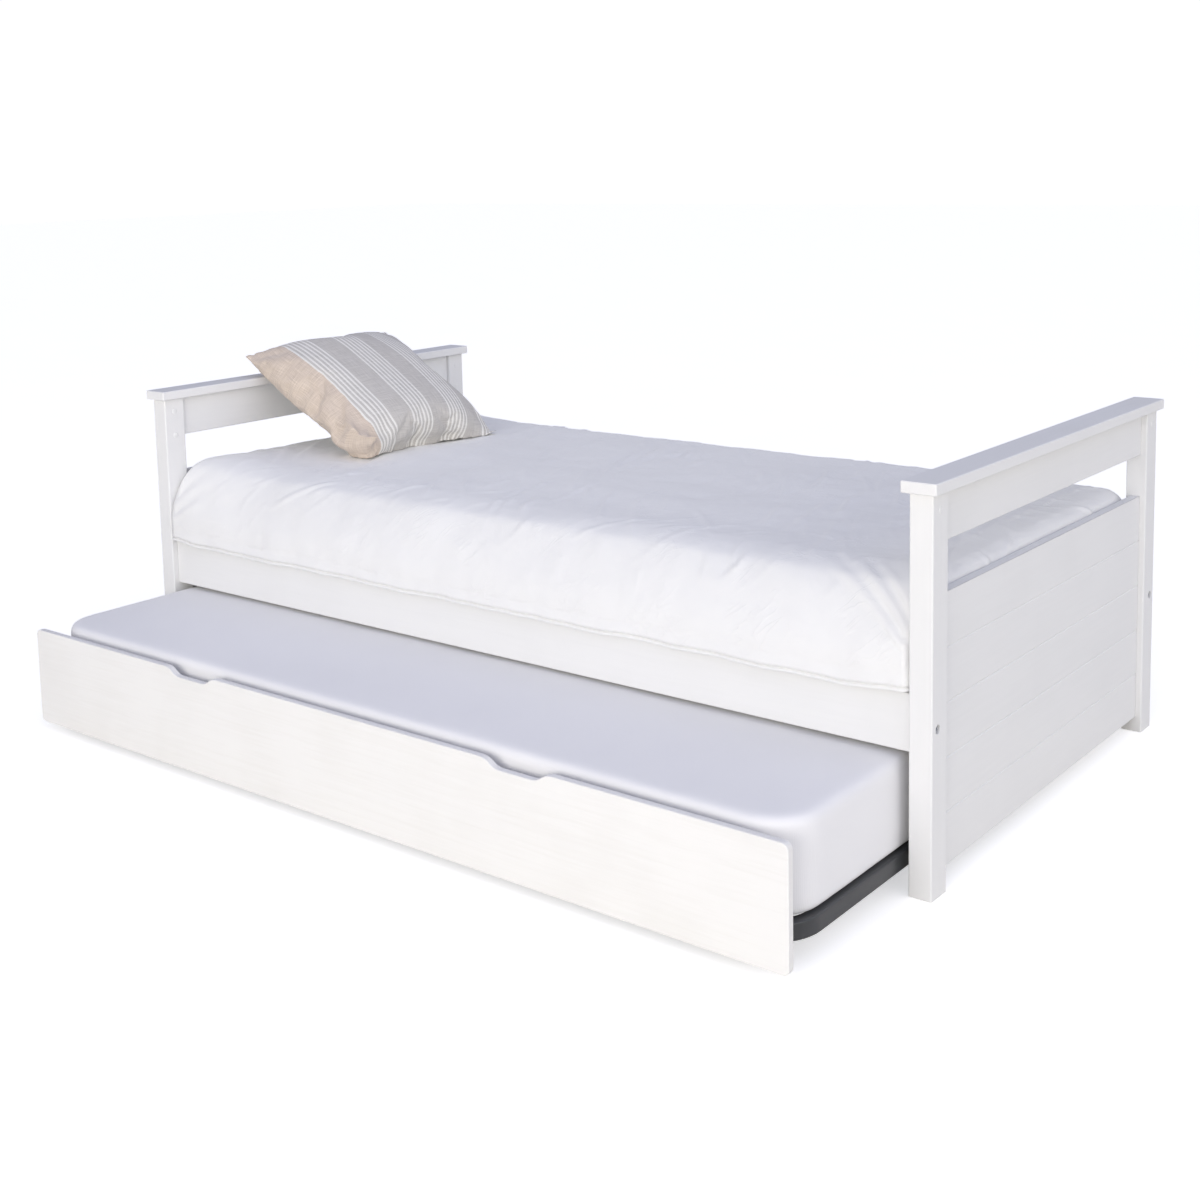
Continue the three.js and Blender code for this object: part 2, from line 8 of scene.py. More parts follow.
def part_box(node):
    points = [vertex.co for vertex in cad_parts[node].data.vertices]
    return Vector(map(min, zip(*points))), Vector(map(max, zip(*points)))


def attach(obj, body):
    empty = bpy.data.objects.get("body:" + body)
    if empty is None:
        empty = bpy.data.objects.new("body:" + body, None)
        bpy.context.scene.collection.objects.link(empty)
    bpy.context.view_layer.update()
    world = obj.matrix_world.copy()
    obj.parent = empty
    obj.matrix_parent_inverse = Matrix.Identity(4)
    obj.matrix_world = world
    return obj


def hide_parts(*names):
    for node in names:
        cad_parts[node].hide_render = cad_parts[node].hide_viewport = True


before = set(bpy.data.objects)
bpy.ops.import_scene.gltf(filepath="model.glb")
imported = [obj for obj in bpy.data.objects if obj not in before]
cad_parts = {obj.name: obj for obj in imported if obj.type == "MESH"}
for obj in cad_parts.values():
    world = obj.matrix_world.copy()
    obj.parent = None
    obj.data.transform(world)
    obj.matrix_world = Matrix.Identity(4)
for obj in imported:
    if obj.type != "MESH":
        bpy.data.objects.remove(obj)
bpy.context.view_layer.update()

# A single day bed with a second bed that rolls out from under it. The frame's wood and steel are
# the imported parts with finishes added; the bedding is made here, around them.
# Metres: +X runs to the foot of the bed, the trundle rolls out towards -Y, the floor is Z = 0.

# ---- driving sizes -------------------------------------------------------------------------
CLOTH_STEP = 0.0055  # side of the cover's squares
COVER_CORNER = 0.011  # plan radius of the cover's upright corners
HEM_BAND = 0.022  # depth of the hem's turned-in band
END_ROOM = 0.0125  # how far the cover's ends fill out between the posts, to the end panels
HEM_FOLD = 0.0026  # depth unit of the piping along the hem
HEM_PIPING = 0.008  # height of the piping and its groove below the face
STITCH_DEPTH, STITCH_WIDTH = 0.0014, 0.0035  # of the line that the band's stitches press in
MATTRESS_STEP = 0.016
CUSHION_CUT = 0.500  # side of the flat cushion cover
CUSHION_GRID = 72  # squares along each side of it
CUSHION_SIDE = 0.472  # corner to corner along a side, once filled
CUSHION_HALF_THICK = 0.082
CUSHION_FRAMES = 26  # steps of the simulation that fills it
CUSHION_PRESSURE = 5.0
CUSHION_STRAIGHTEN = 0.07  # how far its sides' middles are let out again after that
CUSHION_SINK = 0.010  # how far its weight takes it into the bedding
PUCKERS_PER_METRE = 34  # along its seam
PUCKER_HEIGHT = 0.0026
CUSHION_LEAN = math.radians(28.9)  # of the cushion's middle plane over the horizontal
CUSHION_YAW = math.radians(-2.0)
PLUG_RADIUS = 0.0065
SEED = 20


# ---- small helpers -------------------------------------------------------------------------
def smoothstep(t):
    t = np.clip(t, 0.0, 1.0)
    return t * t * (3.0 - 2.0 * t)


def noise_at(points, scale, octaves, seed):
    """Fractal noise, about -1 to 1, at each row of points stretched by scale."""
    stretched = points * np.asarray(scale, float) + seed
    return np.array([noise.fractal(Vector(p), 0.7, 2.1, octaves) for p in stretched])


def resample(path, count, soften):
    """count points, evenly spaced along a polyline whose corners are rounded over soften metres."""
    path = np.asarray(path, float)
    steps = np.linalg.norm(np.diff(path, axis=0), axis=1)
    run = np.concatenate([[0.0], np.cumsum(steps)])
    fine_step = 0.001
    fine = np.arange(0.0, run[-1], fine_step)
    dense = np.column_stack([np.interp(fine, run, column) for column in path.T])
    reach = int(3 * soften / fine_step)
    weights = np.exp(-0.5 * (np.arange(-reach, reach + 1) * fine_step / soften) ** 2)
    weights /= weights.sum()
    before = 2 * dense[0] - dense[reach:0:-1]
    after = 2 * dense[-1] - dense[-2 : -reach - 2 : -1]
    padded = np.vstack([before, dense, after])
    smooth = np.column_stack([np.convolve(column, weights, "valid") for column in padded.T])
    lengths = np.concatenate([[0.0], np.cumsum(np.linalg.norm(np.diff(smooth, axis=0), axis=1))])
    even = np.linspace(0.0, lengths[-1], count)
    return np.column_stack([np.interp(even, lengths, column) for column in smooth.T]), even


def mesh_object(name, vertices, faces):
    mesh = bpy.data.meshes.new(name)
    mesh.from_pydata([tuple(v) for v in vertices], [], [tuple(int(i) for i in f) for f in faces])
    mesh.validate()
    mesh.polygons.foreach_set("use_smooth", [True] * len(mesh.polygons))
    made = bpy.data.objects.new(name, mesh)
    bpy.context.scene.collection.objects.link(made)
    return made


def at_vertices(made, kind):
    """The place ("co") or the normal ("normal") of each vertex of an object's mesh."""
    values = np.zeros(len(made.data.vertices) * 3, np.float32)
    made.data.vertices.foreach_get(kind, values)
    return values.reshape(-1, 3).astype(float)


def move_points(made, points):
    made.data.vertices.foreach_set("co", np.asarray(points, np.float32).ravel())
    made.data.update()


# ---- node materials ------------------------------------------------------------------------
def node(tree, kind, inputs=None, **settings):
    """A shader node with its settings, and its inputs given as numbers, colours or sockets."""
    made = tree.nodes.new("ShaderNode" + kind)
    for name, value in settings.items():
        setattr(made, name, value)
    for name, value in (inputs or {}).items():
        if isinstance(value, bpy.types.NodeSocket):
            tree.links.new(value, made.inputs[name])
        else:
            made.inputs[name].default_value = value
    return made


def material(name, roughness, **constants):
    """A Principled material; constants are sockets that are the same all over the surface."""
    made = bpy.data.materials.new(name)
    made.use_nodes = True
    shader = made.node_tree.nodes["Principled BSDF"]
    shader.inputs["Roughness"].default_value = roughness
    for socket, value in constants.items():
        shader.inputs[socket.replace("_", " ")].default_value = value
    return made, made.node_tree, shader


def object_place(tree, scale=(1, 1, 1)):
    """Object coordinates stretched by scale."""
    place = node(tree, "TexCoord").outputs["Object"]
    return node(tree, "Mapping", {"Vector": place, "Scale": scale}).outputs["Vector"]


def noise_texture(tree, place, scale, detail, rough=0.5, distortion=0.0):
    values = {"Vector": place, "Scale": scale, "Detail": detail, "Roughness": rough}
    values["Distortion"] = distortion
    return node(tree, "TexNoise", values).outputs["Fac"]


def ramp(tree, factor, stops):
    """A colour ramp from (position, colour) stops."""
    made = node(tree, "ValToRGB", {"Fac": factor})
    elements = made.color_ramp.elements
    elements[0].position, elements[-1].position = stops[0][0], stops[-1][0]
    for position, _ in stops[1:-1]:
        elements.new(position)
    for element, (_, colour) in zip(elements, stops, strict=True):
        element.color = (*colour, 1)
    return made.outputs["Color"]


def spread(tree, factor, low, high):
    """factor's middle range, 0.3 to 0.7, stretched to low..high."""
    values = {"Value": factor, "From Min": 0.3, "From Max": 0.7, "To Min": low, "To Max": high}
    return node(tree, "MapRange", values).outputs["Result"]


def clouded(tree, shader, factor, stops, rough=None):
    """Colour, and roughness if rough is given, that follow factor."""
    tree.links.new(ramp(tree, factor, stops), shader.inputs["Base Color"])
    if rough:
        tree.links.new(spread(tree, factor, *rough), shader.inputs["Roughness"])


def bump(tree, shader, layers):
    """Bump layers, each (height, distance in metres, strength), one on top of the other."""
    normal = None
    for height, distance, strength in layers:
        values = {"Height": height, "Distance": distance, "Strength": strength}
        if normal is not None:
            values["Normal"] = normal
        normal = node(tree, "Bump", values).outputs["Normal"]
    tree.links.new(normal, shader.inputs["Normal"])


def slanted_place(tree, place, along, stretch):
    """Coordinates for a pattern drawn out along one direction, stretch times as long as wide."""
    first = Vector(along).normalized()
    second = first.cross(Vector((0, 0, 1))).normalized()
    third = first.cross(second)
    axes = {}
    for name, axis, scale in (("X", first, 1.0), ("Y", second, stretch), ("Z", third, stretch)):
        values = {0: place, 1: axis * scale}
        axes[name] = node(tree, "VectorMath", values, operation="DOT_PRODUCT").outputs["Value"]
    return node(tree, "CombineXYZ", axes).outputs["Vector"]


def math_node(tree, operation, *values):
    made = node(tree, "Math", dict(enumerate(values)), operation=operation)
    return made.outputs[0]


GRAIN_ALONG = {"x": (1.0, 26.0, 26.0), "y": (26.0, 1.0, 26.0), "z": (26.0, 26.0, 1.0)}


def lacquer(name, along, light, shade, grain_depth, roughness):
    """Sprayed white lacquer over solid wood whose grain runs along one axis."""
    made, tree, shader = material(name, roughness, Specular_IOR_Level=0.20)
    place = object_place(tree, GRAIN_ALONG[along])
    grain = noise_texture(tree, place, 5.0, 6.0, 0.62, 0.6)
    cloudy = noise_texture(tree, object_place(tree), 6.0, 2.0)
    tint = math_node(tree, "MULTIPLY", grain, cloudy)
    clouded(tree, shader, tint, [(0.12, shade), (0.30, light)])
    rough = spread(tree, cloudy, roughness - 0.05, roughness + 0.06)
    tree.links.new(rough, shader.inputs["Roughness"])
    peel = noise_texture(tree, object_place(tree), 420.0, 1.0)
    bump(tree, shader, [(grain, grain_depth, 0.6), (peel, 0.00012, 0.25)])
    return made


def pine():
    """Planed slat wood: pale, with darker late-wood lines."""
    made, tree, shader = material("pine_planed", 0.55)
    place = object_place(tree, (9.0, 1.0, 9.0))
    rings = node(
        tree,
        "TexWave",
        {"Vector": place, "Scale": 2.6, "Distortion": 7.0, "Detail": 3.0, "Detail Scale": 1.4},
        wave_type="RINGS",
    ).outputs["Fac"]
    fibre = noise_texture(tree, object_place(tree, (220.0, 6.0, 220.0)), 1.0, 4.0, 0.7)
    both = math_node(tree, "MULTIPLY", rings, fibre)
    stops = [(0.05, (0.74, 0.56, 0.36)), (0.35, (0.68, 0.48, 0.28)), (0.75, (0.50, 0.31, 0.15))]
    clouded(tree, shader, both, stops)
    bump(tree, shader, [(fibre, 0.0003, 0.4)])
    return made


def powder_coat():
    """Dark grey powder coat on the bent tube, with its fine orange peel."""
    made, tree, shader = material("grey_powder_coat", 0.34, Specular_IOR_Level=0.6)
    plain = object_place(tree)
    cloudy = noise_texture(tree, plain, 9.0, 3.0)
    stops = [(0.3, (0.034, 0.036, 0.039)), (0.7, (0.052, 0.055, 0.059))]
    clouded(tree, shader, cloudy, stops, (0.28, 0.40))
    peel = noise_texture(tree, plain, 700.0, 2.0)
    bump(tree, shader, [(peel, 0.00025, 0.35)])
    return made


def zinc():
    """Bright zinc plate on pressed steel, faintly clouded and brushed."""
    made, tree, shader = material("zinc_plate", 0.34, Metallic=1.0)
    plain = object_place(tree)
    cloudy = noise_texture(tree, plain, 60.0, 4.0)
    stops = [(0.3, (0.52, 0.54, 0.57)), (0.7, (0.68, 0.69, 0.70))]
    clouded(tree, shader, cloudy, stops, (0.26, 0.42))
    brushed = noise_texture(tree, object_place(tree, (900.0, 60.0, 60.0)), 1.0, 2.0)
    bump(tree, shader, [(brushed, 0.0001, 0.3)])
    return made


def nylon():
    """Moulded grey nylon with a fine spark-eroded skin and a scuffed tread."""
    made, tree, shader = material("moulded_nylon", 0.5)
    plain = object_place(tree)
    scuffs = noise_texture(tree, plain, 140.0, 5.0, 0.65)
    stops = [(0.35, (0.20, 0.205, 0.21)), (0.68, (0.29, 0.295, 0.30))]
    clouded(tree, shader, scuffs, stops, (0.42, 0.60))
    bump(tree, shader, [(noise_texture(tree, plain, 1500.0, 1.0), 0.0001, 0.4)])
    return made


def woven(tree, place, pitch):
    """A plain weave's height: two crossing sets of threads, pitch metres apart."""
    bands_per_unit = 20.0 / (2.0 * math.pi)  # of a wave texture at scale 1
    scale = 1.0 / pitch / bands_per_unit
    values = {"Vector": place, "Scale": scale, "Distortion": 0.4, "Detail": 1.0}
    threads = []
    for direction in ("X", "Y"):
        bands = node(tree, "TexWave", values, wave_type="BANDS", bands_direction=direction)
        threads.append(bands.outputs["Fac"])
    return math_node(tree, "MAXIMUM", *threads)


def cotton():
    """White percale: a fine weave, soft sheen and small crumples left from folding."""
    made, tree, shader = material("white_percale", 0.78, Sheen_Weight=0.34, Sheen_Roughness=0.45)
    plain = object_place(tree)
    cloudy = noise_texture(tree, plain, 4.0, 3.0)
    stops = [(0.3, (0.803, 0.799, 0.788)), (0.7, (0.830, 0.826, 0.814))]
    clouded(tree, shader, cloudy, stops, (0.72, 0.84))
    drawn_out = slanted_place(tree, plain, (0.65, 0.42, 0.62), 4.5)
    crumple = noise_texture(tree, drawn_out, 9.0, 2.0, 0.5, 0.6)
    fold = math_node(tree, "ABSOLUTE", math_node(tree, "SUBTRACT", crumple, 0.5))
    line = node(tree, "MapRange", {"Value": fold, "From Max": 0.04, "To Min": 1.0, "To Max": 0.0})
    here = noise_texture(tree, plain, 8.0, 2.0)
    shown = node(tree, "MapRange", {"Value": here, "From Min": 0.50, "From Max": 0.60})
    crease = math_node(tree, "MULTIPLY", line.outputs["Result"], shown.outputs["Result"])
    bump(tree, shader, [(crease, 0.0011, 0.4), (woven(tree, plain, 0.0009), 0.0001, 0.30)])
    return made


def ticking():
    """The bare mattress's smooth stretch cover: a fine knit over foam."""
    made, tree, shader = material("mattress_knit", 0.82, Sheen_Weight=0.30, Sheen_Roughness=0.4)
    plain = object_place(tree)
    cloudy = noise_texture(tree, plain, 3.0, 3.0)
    stops = [(0.3, (0.808, 0.802, 0.806)), (0.7, (0.834, 0.828, 0.830))]
    clouded(tree, shader, cloudy, stops)
    knit = woven(tree, object_place(tree, (1.0, 0.55, 0.8)), 0.0016)
    pile = noise_texture(tree, plain, 380.0, 2.0)
    bump(tree, shader, [(knit, 0.00025, 0.35), (pile, 0.0003, 0.25)])
    return made


STRIPE_FIRST, STRIPE_PERIOD, STRIPE_GROUP = 0.18, 0.24, 0.5625  # shares of the cushion's width
STRIPE_LINES = 6
STRIPE_LINE = 0.45  # width of a line, as a share of the lines' spacing


def linen():
    """Striped linen: sand at one side, then greige with groups of white lines, from the UV map."""
    sheen = {"Sheen_Weight": 0.18, "Sheen_Roughness": 0.5}
    made, tree, shader = material("striped_linen_cloth", 0.86, **sheen)
    place = node(tree, "UVMap", uv_map="cloth").outputs["UV"]
    across = node(tree, "SeparateXYZ", {"Vector": place}).outputs["X"]
    slubs = []
    for scale in ((320.0, 10.0, 1.0), (10.0, 320.0, 1.0)):
        thread = node(tree, "Mapping", {"Vector": place, "Scale": scale}).outputs["Vector"]
        slubs.append(noise_texture(tree, thread, 1.0, 2.0, 0.6))
    slub_u, slub_v = slubs
    slub = math_node(tree, "MULTIPLY", math_node(tree, "ADD", slub_u, slub_v), 0.5)
    wobble = math_node(tree, "MULTIPLY", math_node(tree, "SUBTRACT", slub_v, 0.5), 0.004)
    across = math_node(tree, "ADD", across, wobble)

    past_first = math_node(tree, "SUBTRACT", across, STRIPE_FIRST)
    cycle = math_node(tree, "FRACT", math_node(tree, "DIVIDE", past_first, STRIPE_PERIOD))
    inside = math_node(tree, "LESS_THAN", cycle, STRIPE_GROUP)
    started = math_node(tree, "GREATER_THAN", across, STRIPE_FIRST)
    lines = math_node(tree, "MULTIPLY", cycle, STRIPE_LINES / STRIPE_GROUP)
    white = math_node(tree, "LESS_THAN", math_node(tree, "FRACT", lines), STRIPE_LINE)
    stripe = math_node(tree, "MULTIPLY", math_node(tree, "MULTIPLY", inside, started), white)

    sand = ramp(tree, slub, [(0.36, (0.525, 0.432, 0.348)), (0.64, (0.760, 0.655, 0.555))])
    greige = ramp(tree, slub, [(0.36, (0.455, 0.433, 0.400)), (0.64, (0.660, 0.632, 0.590))])
    white_thread = ramp(tree, slub, [(0.36, (0.76, 0.74, 0.695)), (0.64, (0.88, 0.865, 0.815))])
    ground = node(tree, "Mix", {"Factor": started, 6: sand, 7: greige}, data_type="RGBA")
    cloth = node(
        tree, "Mix", {"Factor": stripe, 6: ground.outputs[2], 7: white_thread}, data_type="RGBA"
    )
    tree.links.new(cloth.outputs[2], shader.inputs["Base Color"])
    weave = woven(tree, place, 0.0024)
    bump(tree, shader, [(weave, 0.0004, 0.45), (slub, 0.0005, 0.6), (stripe, 0.0003, 0.5)])
    return made


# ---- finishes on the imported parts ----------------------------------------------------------
WHITE, WHITE_SHADE = (0.806, 0.803, 0.793), (0.790, 0.787, 0.777)
CREAM, CREAM_SHADE = (0.822, 0.813, 0.793), (0.792, 0.780, 0.755)


def grain_axis(name):
    """The way a wooden node's grain runs: along its longest side."""
    low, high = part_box(name)
    size = list(high - low)
    return "xyz"[size.index(max(size))]


def soften_edges(part, radius):
    """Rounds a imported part's edges with modifiers, which leave its mesh as packed."""
    weld = part.modifiers.new("weld", "WELD")
    weld.merge_threshold = 0.00002
    edge = part.modifiers.new("eased_edges", "BEVEL")
    edge.width = radius
    edge.segments = 2
    edge.limit_method = "ANGLE"
    edge.angle_limit = math.radians(35)
    edge.harden_normals = True
    shading = part.modifiers.new("shading", "WEIGHTED_NORMAL")
    shading.keep_sharp = False


def finish_frame_parts():
    white = {}
    for axis in "xyz":
        white[axis] = lacquer(f"white_lacquer_{axis}", axis, WHITE, WHITE_SHADE, 0.0002, 0.44)
    front = lacquer("cream_lacquer_front", "x", CREAM, CREAM_SHADE, 0.0006, 0.48)
    finishes = {"pine": pine(), "grey_steel": powder_coat()}
    finishes |= {"zinc_steel": zinc(), "grey_nylon": nylon()}
    eased = {"white_lacquer": 0.0012, "pine": 0.0015, "grey_steel": 0.0004, "zinc_steel": 0.0003}
    for name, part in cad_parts.items():
        slot = part.data.materials[0].name.split(".")[0]
        if slot == "white_lacquer":
            finish = front if name == "trundle_front" else white[grain_axis(name)]
        else:
            finish = finishes.get(slot)
        if finish is None:
            continue
        part.data.materials[0] = finish
        if slot in eased:
            soften_edges(part, eased[slot])
    return white["z"]


# ---- surfaces of a patch and rings round it ------------------------------------------------
def outline(half_x, half_y, radius, steps):
    """Points and outward directions round a rounded rectangle. Each side runs from the middle of
    one corner to the middle of the next, in steps[0] steps along X and steps[1] along Y."""
    points, outward = [], []
    radius = float(radius)
    for side in range(4):
        along, across = (half_x, half_y) if side % 2 == 0 else (half_y, half_x)
        count = steps[side % 2]
        arc = math.pi * radius / 4
        straight = 2 * (along - radius)
        turn = Matrix.Rotation(side * math.pi / 2, 2)
        for i in range(count):
            run = (straight + 2 * arc) * i / count
            if run < arc:
                angle = -math.pi / 4 + (run / radius if radius else 0.0)
                centre = -along + radius
            elif run <= arc + straight:
                angle, centre = 0.0, -along + radius + run - arc
            else:
                angle = (run - arc - straight) / radius
                centre = along - radius
            way = Vector((math.sin(angle), -math.cos(angle)))
            at = Vector((centre, -across + radius)) + radius * way
            points.append(turn @ at)
            outward.append(turn @ way)
    return np.array(points), np.array(outward)


def patch_grid(half_x, half_y, steps):
    """A rectangle of squares, and where its outline's points are in it, in outline()'s order."""
    xs, ys = np.linspace(-half_x, half_x, steps[0] + 1), np.linspace(-half_y, half_y, steps[1] + 1)
    grid = np.array([(x, y) for y in ys for x in xs])
    at = np.arange(len(grid)).reshape(steps[1] + 1, steps[0] + 1)
    faces = np.stack([at[:-1, :-1], at[:-1, 1:], at[1:, 1:], at[1:, :-1]], -1).reshape(-1, 4)
    edge = np.concatenate([at[0, :-1], at[:-1, -1], at[-1, :0:-1], at[:0:-1, 0]])
    return grid, faces, edge


def skin(top, faces, edge, rings, bottom=None):
    """Vertices and faces of a patch, the rings that follow it and, for a closed form, a bottom."""
    vertices = [np.asarray(top)]
    quads = [faces]
    inner, first = edge, len(top)
    for ring in rings:
        outer = first + np.arange(len(ring))
        quads.append(np.stack([inner, outer, np.roll(outer, -1), np.roll(inner, -1)], -1))
        vertices.append(ring)
        inner, first = outer, first + len(ring)
    if bottom is not None:
        base = first + np.arange(len(bottom))
        lower = base[edge]
        quads.append(np.stack([inner, lower, np.roll(lower, -1), np.roll(inner, -1)], -1))
        quads.append(base[faces[:, ::-1]])
        vertices.append(bottom)
    return np.vstack(vertices), np.vstack(quads)


# ---- creases -------------------------------------------------------------------------------
def crease(flat, start, end, width, height, bow=0.0):
    """Height of one crease in the cloth: a ridge with a shallow valley beside it, fading out at
    both ends, and bowed sideways in the middle."""
    start, end = np.asarray(start, float), np.asarray(end, float)
    length = np.linalg.norm(end - start)
    way = (end - start) / length
    t = (flat - start) @ way / length
    off = (flat - start) @ np.array([-way[1], way[0]]) - bow * (1 - (2 * t - 1) ** 2)
    fade = smoothstep(t / 0.35) * smoothstep((1 - t) / 0.35)
    ridge = np.exp(-((off / width) ** 2))
    valley = 0.4 * np.exp(-(((off - 1.6 * width) / (1.8 * width)) ** 2))
    return height * fade * (ridge - valley)


def fan(flat, apex, toward, spread_angle, lobes, reach, height):
    """Folds that run out from a point where the cloth is held, over an angle about toward."""
    offset = flat - np.asarray(apex, float)
    distance = np.linalg.norm(offset, axis=1)
    angle = np.arctan2(offset[:, 1], offset[:, 0]) - math.radians(toward)
    angle = (angle + math.pi) % (2 * math.pi) - math.pi
    share = angle / math.radians(spread_angle)
    window = smoothstep(1.3 * (1 - np.abs(share)))
    along = smoothstep(distance / (0.18 * reach)) * smoothstep((reach - distance) / (0.75 * reach))
    return height * window * along * np.cos(math.pi * lobes * share)


def scattered_creases(flat, rng, kind, region, mirror=1):
    """Many creases of one kind in a rectangle of the cloth, leaning the other way if mirrored."""
    total = np.zeros(len(flat))
    count, (lean, scatter), length, width, height = kind
    (low_x, high_x), (low_y, high_y) = region
    for _ in range(count):
        centre = np.array([rng.uniform(low_x, high_x), rng.uniform(low_y, high_y)])
        angle = math.radians(rng.normal(mirror * lean, scatter))
        half = rng.uniform(*length) / 2 * np.array([math.cos(angle), math.sin(angle)])
        bow = rng.uniform(-0.12, 0.12) * np.linalg.norm(half)
        args = (centre - half, centre + half, rng.uniform(*width), rng.uniform(*height), bow)
        near = np.linalg.norm(flat - centre, axis=1) < np.linalg.norm(half) + 0.06
        total[near] += crease(flat[near], *args)
    return total


# ---- the bed cover -------------------------------------------------------------------------
# kinds of crease: how many; their lean from the bed's length and its scatter, in degrees; then the
# least and most of their length, width and height
THIN = (0.0045, 0.0075)
SHOULDER_SHORT = (46, (-52, 13), (0.035, 0.12), THIN, (0.0008, 0.0021))
SHOULDER_LONG = (10, (-48, 10), (0.14, 0.26), THIN, (0.0018, 0.0034))
SIDE_SHORT = (20, (-72, 16), (0.035, 0.12), THIN, (0.0005, 0.0011))
TOP_LONG = (100, (113, 10), (0.10, 0.42), (0.005, 0.010), (0.0014, 0.0034))
TOP_SHORT = (60, (110, 35), (0.04, 0.12), THIN, (0.0006, 0.0015))
END_SHORT = (26, (0, 22), (0.05, 0.14), (0.006, 0.010), (0.0010, 0.0030))
HEAD_SHOULDER_LIFT = 0.012  # where the cover is fuller, at its front and back corners by the head


# the cover's section over the mattress's side and over its end: how far out from the solid's own
# side or end, and how far up from its top
SIDE_SECTION = [(-0.130, 0.002), (-0.100, -0.002), (-0.066, -0.013), (-0.048, -0.034)]
SIDE_SECTION += [(-0.031, -0.060), (-0.013, -0.096), (-0.004, -0.122), (-0.001, -0.160)]
END_SECTION = [(-0.060, 0.001), (-0.028, -0.003), (-0.008, -0.011), (0.002, -0.030)]
END_SECTION += [(0.0025, -0.100)]


def cover_profiles(half_length, half_width, top, hem):
    """The cover's section across the bed and along it: (distance out, height) from the patch's
    edge down to the hem. Across, it rests on the side rail and flares over its top edge."""
    across = [(half_width + out, top + up) for out, up in SIDE_SECTION]
    across.append((half_width + 0.0006, hem))
    along = [(half_length + out, top + up) for out, up in END_SECTION]
    return across, along


def cover_ring(k, count, across, along, half_length, half_width, steps):
    """One ring of the skirt, with the side's height on the long sides and the end's on the ends."""
    radius = COVER_CORNER * smoothstep(k / (0.25 * count))
    plan, outward = outline(along[k, 0], across[k, 0], radius, steps)
    reach_side, reach_end, corner_share = 0.14, 0.16, 0.10
    near_end = smoothstep((np.abs(plan[:, 0]) - half_length + reach_side) / reach_side)
    past_corner = smoothstep((half_width - np.abs(plan[:, 1])) / reach_end)
    on_end = np.abs(outward[:, 0]) > np.abs(outward[:, 1])
    end_share = corner_share + (1 - corner_share) * past_corner
    share = np.where(on_end, end_share, corner_share * near_end)
    height = (1 - share) * across[k, 1] + share * along[k, 1]
    return np.column_stack([plan, height]), outward


def cover_relief(flat, half_x, half_y, side_run, half_length):
    """How far each point of the cover stands off its smooth shape. flat is the cloth laid out."""
    rng = np.random.default_rng(SEED)
    hem_y = half_y + side_run
    down = np.clip((np.abs(flat[:, 1]) - half_y) / side_run, 0, 1)
    on_side = smoothstep(down / 0.35)
    flat3 = np.column_stack([flat, np.zeros(len(flat))])
    shoulder_band = np.exp(-(((np.abs(flat[:, 1]) - half_y) / 0.10) ** 2))
    # slow swells, calmer along the shoulders; a fine unevenness; folds that hang down the sides
    relief = (0.0046 - 0.0024 * shoulder_band) * noise_at(flat3, (3.1, 4.5, 1), 3, 3.0)
    relief += 0.0012 * noise_at(flat3, (24.0, 17.0, 1), 4, 8.0)
    relief += 0.0034 * on_side * noise_at(flat3, (7.0, 1.6, 1), 2, 15.0)
    full = (-half_x, half_x)
    for sign in (-1, 1):
        shoulder = full, sorted((sign * (half_y - 0.05), sign * (half_y + 0.11)))
        side = full, sorted((sign * (half_y + 0.04), sign * hem_y))
        relief += scattered_creases(flat, rng, SHOULDER_SHORT, shoulder, sign)
        relief += scattered_creases(flat, rng, SHOULDER_LONG, shoulder, sign)
        relief += scattered_creases(flat, rng, SIDE_SHORT, side, sign)
    top = full, (-half_y, half_y)
    relief += scattered_creases(flat, rng, TOP_LONG, top)
    relief += scattered_creases(flat, rng, TOP_SHORT, top)
    # folds that run up from the hem's corners, where the posts hold the cloth
    for sign in (-1, 1):
        foot = {"toward": -sign * 126, "spread_angle": 20, "reach": 0.36, "height": 0.0046}
        relief += fan(flat, (half_length, sign * hem_y), lobes=4, **foot)
        head = {"toward": -sign * 48, "spread_angle": 30, "reach": 0.26, "height": 0.0036}
        relief += fan(flat, (-half_length, sign * hem_y), lobes=4, **head)
        end = sorted((sign * (half_x - 0.03), sign * (half_x + 0.12))), (-half_y, half_y)
        relief += scattered_creases(flat, rng, END_SHORT, end)
        head_shoulder = flat - np.array([-half_x, sign * (half_y + 0.04)])
        bulge = np.exp(-np.sum((head_shoulder / (0.16, 0.11)) ** 2, axis=1))
        relief += HEAD_SHOULDER_LIFT * bulge
    return relief


def turned_hem(hem_ring, outward):
    """The rings that follow the hem: a groove, the piping below it, then the band up behind."""
    groove = [(-1.2, -0.0003), (-1.2, -0.0022), (-0.30, -0.0026)]
    piping = [(-0.05, -0.0040), (-0.05, -0.0068), (-0.4, -0.0080), (-1.1, -0.0078), (-1.5, -0.0060)]
    band = [(-1.5, HEM_BAND * k / 4) for k in range(5)]
    rings = []
    for inward, up in groove + piping + band:
        ring = hem_ring.copy()
        ring[:, :2] += outward * inward * HEM_FOLD
        ring[:, 2] += up
        rings.append(ring)
    return rings


